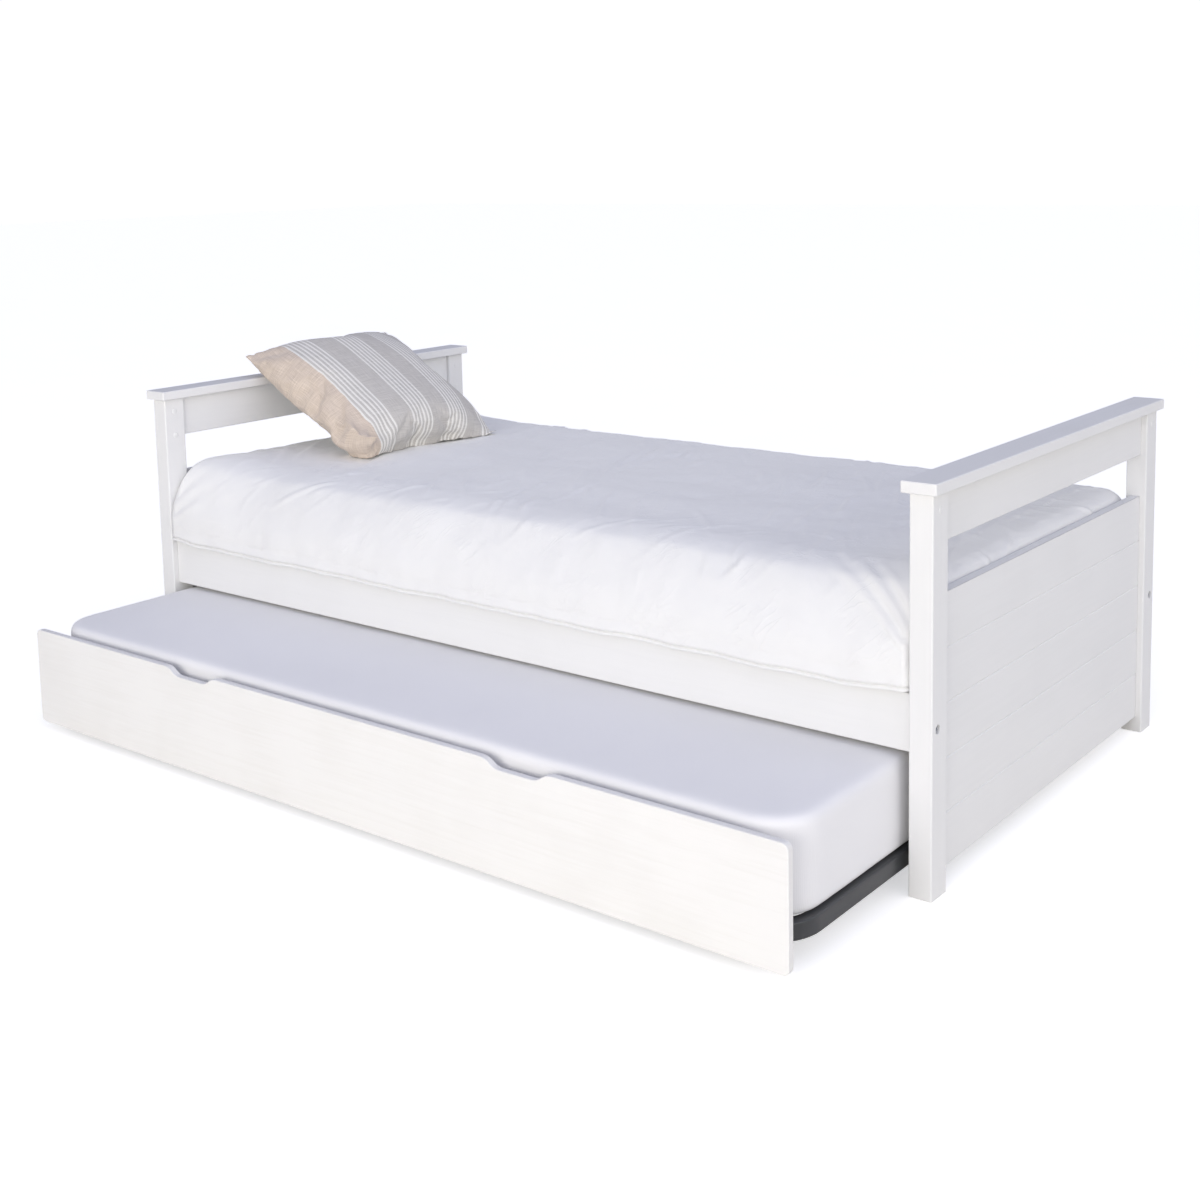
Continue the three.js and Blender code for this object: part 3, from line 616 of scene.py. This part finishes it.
def bed_cover(cloth):
    low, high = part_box("bed_cover")
    centre = (low + high) / 2
    half_length, half_width = (high.x - low.x) / 2, (high.y - low.y) / 2
    hem = low.z + HEM_PIPING
    across_path, along_path = cover_profiles(half_length, half_width, high.z, hem)
    side_length = sum(math.dist(a, b) for a, b in zip(across_path, across_path[1:]))
    count = round(side_length / CLOTH_STEP)
    across, run = resample(across_path, count + 1, soften=0.009)
    along, end_run = resample(along_path, count + 1, soften=0.006)
    half_x, half_y = along[0, 0], across[0, 0]
    steps = (round(2 * half_x / CLOTH_STEP), round(2 * half_y / CLOTH_STEP))

    grid, faces, edge = patch_grid(half_x, half_y, steps)
    crown = 0.004 * (1 - (grid[:, 0] / half_x) ** 4) * (1 - (grid[:, 1] / half_y) ** 2)
    top = np.column_stack([grid, across[0, 1] + crown])
    top[edge, 2] = across[0, 1]
    flat = [grid]
    rings = []
    for k in range(1, count + 1):
        ring, outward = cover_ring(k, count, across, along, half_length, half_width, steps)
        rings.append(ring)
        flat.append(grid[edge] + outward * run[k])
    face_rings = len(rings)
    rings += turned_hem(rings[-1], outward)
    flat += [flat[-1]] * (len(rings) - face_rings)
    vertices, quads = skin(top, faces, edge, rings)
    flat = np.vstack(flat)

    face_quads = len(faces) + face_rings * len(edge)
    face_vertices = len(grid) + face_rings * len(edge)
    face = mesh_object("cover_face", vertices[:face_vertices], quads[:face_quads])
    normals = at_vertices(face, "normal")
    bpy.data.objects.remove(face)
    hem_normals = normals[-len(edge) :]
    normals = np.vstack([normals] + [hem_normals] * (len(rings) - face_rings))

    relief = cover_relief(flat, half_x, half_y, run[-1], half_length)
    stitch = np.abs(flat[:, 1]) - (half_y + run[-1] - HEM_BAND)
    relief -= STITCH_DEPTH * np.exp(-((stitch / STITCH_WIDTH) ** 2))
    points = vertices + relief[:, None] * normals
    hang = smoothstep((np.abs(flat[:, 1]) - half_y) / run[-1])
    flat3 = np.column_stack([flat, np.zeros(len(flat))])
    hem_wave = 0.0035 * hang**3
    points[:, 2] += hem_wave * noise_at(flat3, (9.0, 0.2, 1), 2, 40.0)
    # the ends fill out to the end panels, except beside the posts
    room = END_ROOM * smoothstep((half_width - 0.055 - np.abs(vertices[:, 1])) / 0.06)
    on_end = smoothstep((np.abs(flat[:, 0]) - half_x) / (0.4 * end_run[-1]))
    points[:, 0] += np.sign(points[:, 0]) * room * on_end
    limit = half_length + 0.0012 + room
    points[:, 0] = np.clip(points[:, 0], -limit, limit)
    limit = half_width + 0.004
    points[:, 1] = np.clip(points[:, 1], -limit, limit) + centre.y
    cover = mesh_object("bed_cover_cloth", points, quads)
    cover.data.materials.append(cloth)

    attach(cover, "root")
    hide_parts("bed_cover")


# ---- the two mattresses --------------------------------------------------------------------
def foam_block(name, node_name, cloth, *, corner, round_top, round_bottom, crown, bulge, inset):
    """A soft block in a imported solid's box: plan corners, rounded upper and lower edges, a
    crowned top and sides that swell a little. inset keeps it inside the box."""
    low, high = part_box(node_name)
    centre = (low + high) / 2
    half_length, half_width = (high.x - low.x) / 2 - inset, (high.y - low.y) / 2 - inset
    quarter = np.linspace(0, math.pi / 2, 7)
    inward, rise = 1 - np.sin(quarter), 1 - np.cos(quarter)
    upper = np.column_stack([-round_top * inward, high.z - round_top * rise])
    lower = np.column_stack([-round_bottom * inward, low.z + round_bottom * rise])
    section = np.vstack([upper, lower[::-1]])
    section_length = sum(math.dist(a, b) for a, b in zip(section, section[1:]))
    profile, _ = resample(section, round(section_length / MATTRESS_STEP * 1.6) + 1, soften=0.003)
    half_x, half_y = half_length - corner, half_width - corner
    steps = (round(2 * half_x / MATTRESS_STEP), round(2 * half_y / MATTRESS_STEP))
    grid, faces, edge = patch_grid(half_x, half_y, steps)
    falloff = (1 - (grid[:, 0] / half_length) ** 6) * (1 - (grid[:, 1] / half_width) ** 4)
    top = np.column_stack([grid, high.z + crown * falloff])
    flat_rings = max(2, round((corner - round_top) / MATTRESS_STEP))
    rings = []
    for k in range(1, flat_rings):
        out = (corner - round_top) * k / flat_rings
        plan, _ = outline(half_x + out, half_y + out, out, steps)
        ring_fall = (1 - (plan[:, 0] / half_length) ** 6) * (1 - (plan[:, 1] / half_width) ** 4)
        rings.append(np.column_stack([plan, high.z + crown * ring_fall]))
    side = high.z - low.z
    for out, height in profile:
        swell = bulge * math.sin(math.pi * np.clip((height - low.z) / side, 0, 1))
        out += swell
        plan, _ = outline(half_length + out, half_width + out, corner + out, steps)
        rings.append(np.column_stack([plan, np.full(len(plan), height)]))
    for k in range(1, flat_rings):
        out = (corner - round_bottom) * (1 - k / flat_rings)
        plan, _ = outline(half_x + out, half_y + out, out, steps)
        rings.append(np.column_stack([plan, np.full(len(plan), low.z)]))
    base = np.column_stack([grid, np.full(len(grid), low.z)])
    vertices, quads = skin(top, faces, edge, rings, base)
    block = mesh_object(name, vertices, quads)
    normals = at_vertices(block, "normal")
    dents = 0.0011 * noise_at(vertices, (4.0, 5.0, 9.0), 3, 60.0)
    dents = dents + 0.0005 * noise_at(vertices, (18.0, 18.0, 30.0), 2, 70.0)
    points = vertices + (dents * (normals[:, 2] > -0.7))[:, None] * normals
    points[:, 0] += centre.x
    points[:, 1] += centre.y
    move_points(block, points)
    finer = block.modifiers.new("smooth_foam", "SUBSURF")
    finer.levels = finer.render_levels = 1
    block.data.materials.append(cloth)
    return block


def mattresses(cloth):
    shape = {"corner": 0.055, "round_top": 0.040, "round_bottom": 0.030, "crown": 0.009}
    shape |= {"bulge": 0.0, "inset": 0.004}
    main = foam_block("mattress_pad", "mattress", cloth, **shape)
    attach(main, "root")
    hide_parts("mattress")

    shape = {"corner": 0.084, "round_top": 0.013, "round_bottom": 0.009, "crown": 0.0025}
    shape |= {"bulge": 0.0015, "inset": 0.001}
    guest = foam_block("trundle_mattress_pad", "trundle_mattress", cloth, **shape)
    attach(guest, "trundle")
    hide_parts("trundle_mattress")


# ---- the scatter cushion -------------------------------------------------------------------
def flat_cushion():
    """Two squares of cloth joined round their edges, each vertex with its place in the cut."""
    count = CUSHION_GRID + 1
    upper, faces_top, _ = patch_grid(0.5, 0.5, (CUSHION_GRID, CUSHION_GRID))
    rim = np.zeros((count, count), bool)
    rim[0] = rim[-1] = rim[:, 0] = rim[:, -1] = True
    under = np.arange(count * count).reshape(count, count)
    under[~rim] = count * count + np.arange((~rim).sum())
    room = (0.25 - upper[:, 0] ** 2) * (0.25 - upper[:, 1] ** 2) * 16
    thick = 0.006
    top = np.column_stack([upper * CUSHION_CUT, thick * room])
    below = top[~rim.ravel()] * (1, 1, -1)
    faces_low = np.stack([under[:-1, :-1], under[1:, :-1], under[1:, 1:], under[:-1, 1:]], -1)
    faces = np.vstack([faces_top, faces_low.reshape(-1, 4)])
    cushion = mesh_object("scatter_cushion_linen", np.vstack([top, below]), faces)
    places = np.vstack([upper, upper[~rim.ravel()]]) + 0.5
    layer = cushion.data.uv_layers.new(name="cloth")
    corner_vertex = np.zeros(len(cushion.data.loops), np.int32)
    cushion.data.loops.foreach_get("vertex_index", corner_vertex)
    layer.data.foreach_set("uv", places[corner_vertex].astype(np.float32).ravel())
    return cushion


# the simulated cloth's settings: a stiff linen that hardly stretches, well damped
CUSHION_CLOTH = {"quality": 7, "mass": 0.25, "bending_stiffness": 0.35, "air_damping": 3}
CUSHION_CLOTH |= {"tension_stiffness": 28, "compression_stiffness": 18, "shear_stiffness": 9}
CUSHION_CLOTH |= {"tension_damping": 8, "compression_damping": 8}


def inflate(pad):
    """Fills a closed cloth by pressure in Blender's cloth simulation, and keeps the result."""
    cloth = pad.modifiers.new("stuffing", "CLOTH")
    settings = cloth.settings
    for name, value in CUSHION_CLOTH.items():
        setattr(settings, name, value)
    settings.use_pressure = True
    settings.uniform_pressure_force = CUSHION_PRESSURE
    settings.effector_weights.gravity = 0
    cloth.point_cache.frame_start = 1
    cloth.point_cache.frame_end = CUSHION_FRAMES
    scene = bpy.context.scene
    for step in range(1, CUSHION_FRAMES + 1):
        scene.frame_set(step)
    filled = at_vertices(pad.evaluated_get(bpy.context.evaluated_depsgraph_get()), "co")
    pad.modifiers.remove(cloth)
    scene.frame_set(1)
    move_points(pad, filled)


def fill_out(pad):
    """Evens the filled cushion to its packed size: its sides straightened between the corners,
    as a well filled one's are, and its belly to the solid's thickness."""
    points = at_vertices(pad, "co")
    side = np.ptp(points[:, 0]) / 2
    u, v = np.clip(points[:, 0] / side, -1, 1), np.clip(points[:, 1] / side, -1, 1)
    points[:, 0] *= 1 + CUSHION_STRAIGHTEN * (1 - v**2)
    points[:, 1] *= 1 + CUSHION_STRAIGHTEN * (1 - u**2)
    points[:, :2] *= CUSHION_SIDE / np.ptp(points[:, 0])
    share = ease_wrinkles(points[:, 2]) / np.abs(points[:, 2]).max()
    lower = smoothstep((0.3 - v) / 0.9)
    front_full = 0.32 * lower * (1 - 0.8 * smoothstep((u - 0.40) / 0.4))
    back_full = 0.34 * smoothstep((0.3 - u) / 1.1) * (0.4 + 0.6 * lower)
    share = np.sign(share) * np.abs(share) ** (1 - np.where(share > 0, front_full, back_full))
    share = even_rows(share, lower * smoothstep((0.92 - np.abs(u)) / 0.2))
    points[:, 2] = CUSHION_HALF_THICK * share
    gather_seam(points, u, v)
    pull_creases(points, u, v, share)
    sag(points, u, v, share)
    move_points(pad, points)


def two_faces(values):
    """A value at each vertex of the cushion as two grids, its upper face and its under face."""
    count = CUSHION_GRID + 1
    upper = values[: count * count].reshape(count, count)
    under = upper.copy()
    under[1:-1, 1:-1] = values[count * count :].reshape(count - 2, count - 2)
    return upper, under


def one_list(upper, under):
    return np.concatenate([upper.ravel(), under[1:-1, 1:-1].ravel()])


def ease_wrinkles(height):
    """The heights of the cushion's two faces, with their long wrinkles made shallower."""
    eased = []
    for face in two_faces(height):
        even = face.copy()
        for _ in range(60):
            beside = even[:-2, 1:-1] + even[2:, 1:-1] + even[1:-1, :-2] + even[1:-1, 2:]
            even[1:-1, 1:-1] = 0.5 * even[1:-1, 1:-1] + 0.125 * beside
        eased.append(0.25 * face + 0.75 * even)
    return one_list(*eased)


def even_rows(share, weight):
    """Evens out the faces' fullness along the lower seam, and leaves it as it is across it."""
    eased = []
    for face, amount in zip(two_faces(share), two_faces(weight)):
        even = face.copy()
        for _ in range(90):
            even[:, 1:-1] = 0.5 * even[:, 1:-1] + 0.25 * (even[:, :-2] + even[:, 2:])
        eased.append(face + amount * (even - face))
    return one_list(*eased)


def gather_seam(points, u, v):
    """Small puckers where the sewing draws the cloth up, all along the seam."""
    edge = np.maximum(np.abs(u), np.abs(v))
    along = np.where(np.abs(u) > np.abs(v), v, u) * CUSHION_SIDE / 2
    near = smoothstep((edge - 0.80) / 0.18)
    uneven = 3.0 * np.sin(along * 31)
    beat = np.sin(2 * math.pi * PUCKERS_PER_METRE * along + uneven) * np.sin(along * 57 + 1.0)
    out = np.column_stack([u, v]) / np.maximum(np.hypot(u, v), 1e-6)[:, None]
    points[:, :2] += out * (PUCKER_HEIGHT * near * beat)[:, None]
    points[:, 2] += PUCKER_HEIGHT * near * beat * np.sign(points[:, 2])


# creases in the cushion's face, (u, v) at both ends, width and height: u across, v up its slope
CUSHION_CREASES = [
    ((-1.05, -1.02), (-0.52, -0.44), 0.050, -0.0070),
    ((-1.05, -0.80), (-0.66, -0.16), 0.045, -0.0060),
    ((-0.92, -1.05), (-0.36, -0.60), 0.045, -0.0060),
    ((-1.05, -0.55), (-0.84, -0.05), 0.040, 0.0034),
    ((-1.02, 1.02), (-0.66, 0.56), 0.045, -0.0060),
    ((-1.02, 0.84), (-0.84, 0.42), 0.040, -0.0044),
    ((1.02, -1.02), (0.66, -0.56), 0.045, -0.0050),
    ((-0.30, -1.05), (-0.20, -0.66), 0.040, -0.0024),
    ((0.28, -1.05), (0.30, -0.68), 0.040, -0.0024),
    ((1.0, 1.0), (0.62, 0.62), 0.045, -0.0044),
]


def pull_creases(points, u, v, share):
    """Creases that the seam's pull leaves in the upper face, most of them near its corners."""
    place = np.column_stack([u, v])
    for start, end, width, height in CUSHION_CREASES:
        points[:, 2] += crease(place, start, end, width, height) * (share > 0)
    folds = {"toward": 47, "spread_angle": 44, "lobes": 4, "reach": 0.90, "height": 0.0048}
    points[:, 2] += fan(place, (-1.02, -1.02), **folds) * (share > 0)


def sag(points, u, v, share):
    """The filling sinks to the lower side: the belly hangs over the seam there, which tucks back
    under it. The near lower corner is folded up on the face, the near upper one droops."""
    lower = smoothstep((-v - 0.45) / 0.55)
    near = smoothstep((-u - 0.50) / 0.50)
    rim = 1 - np.abs(share)
    ear = near * lower
    # the lower seam goes down and back under, and the belly comes forward over it
    points[:, 2] += rim**0.5 * (-0.030 * lower * (1 - near) + 0.030 * ear)
    points[:, 1] += 0.012 * lower * rim**2
    belly = smoothstep((-v - 0.3) / 0.5) * (1 - 0.7 * np.abs(u) ** 3)
    points[:, 1] -= 0.022 * belly * np.clip(share, 0, 1)
    # the near lower corner
    points[:, 0] += 0.034 * ear * rim
    points[:, 1] += 0.010 * ear
    # the near upper corner
    droop = smoothstep((-u - 0.30) / 0.70) * smoothstep((v - 0.30) / 0.70)
    points[:, 2] -= 0.022 * droop
    points[:, 0] += 0.018 * droop
    # the near lower corner's tip, turned up
    tip = smoothstep((-u - 0.84) / 0.16) * smoothstep((-v - 0.84) / 0.16)
    points[:, 2] += 0.024 * tip
    points[:, 1] -= 0.020 * tip
    points[:, 0] += 0.006 * tip
    # the far lower corner, drawn out
    far = smoothstep((u - 0.70) / 0.30) * lower
    points[:, 0] += 0.012 * far
    points[:, 1] -= 0.006 * far


def place_cushion(pad):
    """Leans the filled cushion on the headboard's cap, resting on the cover."""
    low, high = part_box("scatter_cushion")
    sine, cosine = math.sin(CUSHION_LEAN), math.cos(CUSHION_LEAN)
    slope = Matrix(((0, -cosine, sine), (1, 0, 0), (0, sine, cosine)))
    lean = Matrix.Rotation(CUSHION_YAW, 3, "Z") @ slope
    placed = at_vertices(pad, "co") @ np.array(lean).T + np.array((low + high) / 2)
    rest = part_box("bed_cover")[1].z + 0.004
    placed[:, 2] -= CUSHION_SINK
    squash = 0.012  # height over the cover in which the cloth is pressed flat
    below = rest + squash - placed[:, 2]
    lift = below - squash * np.exp(-np.clip(below, 0, 1) / squash)
    placed[:, 2] += np.where(below > 0, lift, 0.0)
    move_points(pad, placed)


def scatter_cushion(cloth):
    pad = flat_cushion()
    inflate(pad)
    fill_out(pad)
    place_cushion(pad)
    finer = pad.modifiers.new("finer_cloth", "SUBSURF")
    finer.levels = finer.render_levels = 1
    pad.data.materials.append(cloth)
    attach(pad, "root")
    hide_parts("scatter_cushion")


# ---- cover plugs ---------------------------------------------------------------------------
def cover_plug(name, at, outward, finish):
    """A small domed plastic plug over a dowel screw, lathed about the X axis."""
    profile = [(0.0, 0.0009), (0.6, 0.0008), (0.85, 0.0006), (0.97, 0.0003), (1.0, -0.0004)]
    turns = 28
    vertices = [(profile[0][1], 0.0, 0.0)]
    for share, height in profile[1:]:
        for k in range(turns):
            angle = 2 * math.pi * k / turns
            radius = PLUG_RADIUS * share
            vertices.append((height, radius * math.cos(angle), radius * math.sin(angle)))
    faces = [(0, 1 + k, 1 + (k + 1) % turns) for k in range(turns)]
    for ring in range(len(profile) - 2):
        first, second = 1 + ring * turns, 1 + (ring + 1) * turns
        for k in range(turns):
            after = (k + 1) % turns
            faces.append((first + k, second + k, second + after, first + after))
    back = 1 + (len(profile) - 2) * turns
    faces.append(tuple(back + k for k in reversed(range(turns))))
    points = np.array(vertices) * (outward, outward, 1) + np.array(at)
    plug = mesh_object(name, points, faces)
    plug.data.materials.append(finish)
    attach(plug, "root")


def cover_plugs(finish):
    below_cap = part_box("footboard_cap")[0].z
    rail_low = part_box("headboard_upper_rail")[0].z
    for side in ("front", "back"):
        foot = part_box(f"footboard_post_{side}")
        across = (foot[0].y + foot[1].y) / 2
        cover_plug(f"cover_plug_foot_{side}", (foot[1].x, across, below_cap - 0.029), 1, finish)
        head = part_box(f"headboard_post_{side}")
        for height, level in ((below_cap - 0.030, "upper"), (rail_low + 0.003, "lower")):
            cover_plug(f"cover_plug_head_{side}_{level}", (head[1].x, across, height), 1, finish)


# ---- floor, light and camera ---------------------------------------------------------------
FLOOR_HALF = 30.0
FLOOR_LEVEL = -0.0006  # just under the casters
FLOOR_GLOW = 0.53  # lifts the paper to white for the camera alone, and lights nothing


def studio_floor():
    grid, faces, _ = patch_grid(FLOOR_HALF, FLOOR_HALF, (12, 12))
    level = np.full(len(grid), FLOOR_LEVEL)
    floor = mesh_object("studio_floor", np.column_stack([grid, level]), faces)
    made, tree, shader = material("studio_paper", 0.9)
    shader.inputs["Emission Color"].default_value = (0.955, 0.975, 1.035, 1)
    seen = node(tree, "LightPath").outputs["Is Camera Ray"]
    glow = math_node(tree, "MULTIPLY", seen, FLOOR_GLOW)
    tree.links.new(glow, shader.inputs["Emission Strength"])
    shader.inputs["Specular IOR Level"].default_value = 0.1
    fibre = noise_texture(tree, object_place(tree), 3.0, 2.0)
    stops = [(0.3, (0.90, 0.87, 0.78)), (0.7, (0.92, 0.89, 0.80))]
    clouded(tree, shader, fibre, stops)
    floor.data.materials.append(made)


# the sky that lights the room: height over the horizon, and colour
SKY = [
    (0.0, (0.88, 0.86, 0.82)),
    (0.25, (0.80, 0.785, 0.755)),
    (0.55, (0.54, 0.56, 0.68)),
    (0.9, (0.43, 0.46, 0.65)),
]
SKY_TO_FOOT = 0.65  # how much brighter the sky is towards the foot of the bed, than over it
SKY_TO_FRONT = 0.28  # and towards its front


def studio_world():
    world = bpy.data.worlds.new("studio")
    bpy.context.scene.world = world
    world.use_nodes = True
    tree = world.node_tree
    tree.nodes.clear()
    way = node(tree, "SeparateXYZ", {"Vector": node(tree, "TexCoord").outputs["Generated"]})
    sky = ramp(tree, way.outputs["Z"], SKY)
    toward_foot = math_node(tree, "MULTIPLY", way.outputs["X"], SKY_TO_FOOT)
    toward_front = math_node(tree, "MULTIPLY", way.outputs["Y"], -SKY_TO_FRONT)
    strength = math_node(tree, "ADD", math_node(tree, "ADD", toward_foot, toward_front), 1.0)
    light = node(tree, "Background", {"Color": sky, "Strength": strength})
    paper = node(tree, "Background", {"Color": (1, 1, 1, 1), "Strength": 1.02})
    seen = node(tree, "LightPath").outputs["Is Camera Ray"]
    mix = node(tree, "MixShader", {0: seen, 1: light.outputs[0], 2: paper.outputs[0]})
    out = node(tree, "OutputWorld")
    tree.links.new(mix.outputs[0], out.inputs["Surface"])


def softbox(name, at, target, size, power, colour):
    data = bpy.data.lights.new(name, "AREA")
    data.shape = "RECTANGLE"
    data.size, data.size_y = size
    data.energy = power
    data.color = colour
    lamp = bpy.data.objects.new(name, data)
    bpy.context.scene.collection.objects.link(lamp)
    lamp.location = at
    lamp.rotation_euler = (Vector(target) - Vector(at)).to_track_quat("-Z", "Y").to_euler()


def studio_lights():
    softbox("key_front", (1.3, -5.0, 1.35), (0.0, 0.0, 0.35), (3.0, 1.8), 101.0, (1.0, 0.976, 0.93))
    softbox("top_foot", (0.5, 0.4, 2.3), (0.6, 0.2, 0.0), (1.4, 1.4), 2.4, (0.90, 0.93, 1.0))
    softbox("fill_foot", (6.5, -1.5, 2.3), (0.0, 0.2, 0.5), (2.6, 1.8), 20.0, (1.0, 0.98, 0.95))


# the camera's place, the way it looks, and its lens in millimetres
CAMERA_AT = (2.1301, -2.5986, 1.2147)
CAMERA_YAW, CAMERA_PITCH, CAMERA_ROLL = 38.318, 7.209, -1.2  # degrees: to the left, down, roll
CAMERA_LENS = 48.43
CAMERA_SHIFT_Y = -0.2


def camera():
    data = bpy.data.cameras.new("camera")
    data.lens = CAMERA_LENS
    data.sensor_width = 36.0
    data.shift_y = CAMERA_SHIFT_Y
    data.clip_end = 200.0
    eye = bpy.data.objects.new("camera", data)
    bpy.context.scene.collection.objects.link(eye)
    yaw, pitch, roll = (math.radians(v) for v in (CAMERA_YAW, CAMERA_PITCH, CAMERA_ROLL))
    level = math.cos(pitch)
    forward = Vector((-math.sin(yaw) * level, math.cos(yaw) * level, -math.sin(pitch)))
    right = Vector((math.cos(yaw), math.sin(yaw), 0.0))
    up = right.cross(forward)
    across = math.cos(roll) * right + math.sin(roll) * up
    upright = math.cos(roll) * up - math.sin(roll) * right
    turned = Matrix((across, upright, -forward)).transposed()
    eye.matrix_world = Matrix.Translation(CAMERA_AT) @ turned.to_4x4()
    bpy.context.scene.camera = eye


def main():
    camera()
    studio_floor()
    studio_world()
    studio_lights()
    bpy.context.scene.view_settings.view_transform = "Standard"
    plug_finish = finish_frame_parts()
    cover_plugs(plug_finish)
    mattresses(ticking())
    bed_cover(cotton())
    scatter_cushion(linen())


main()
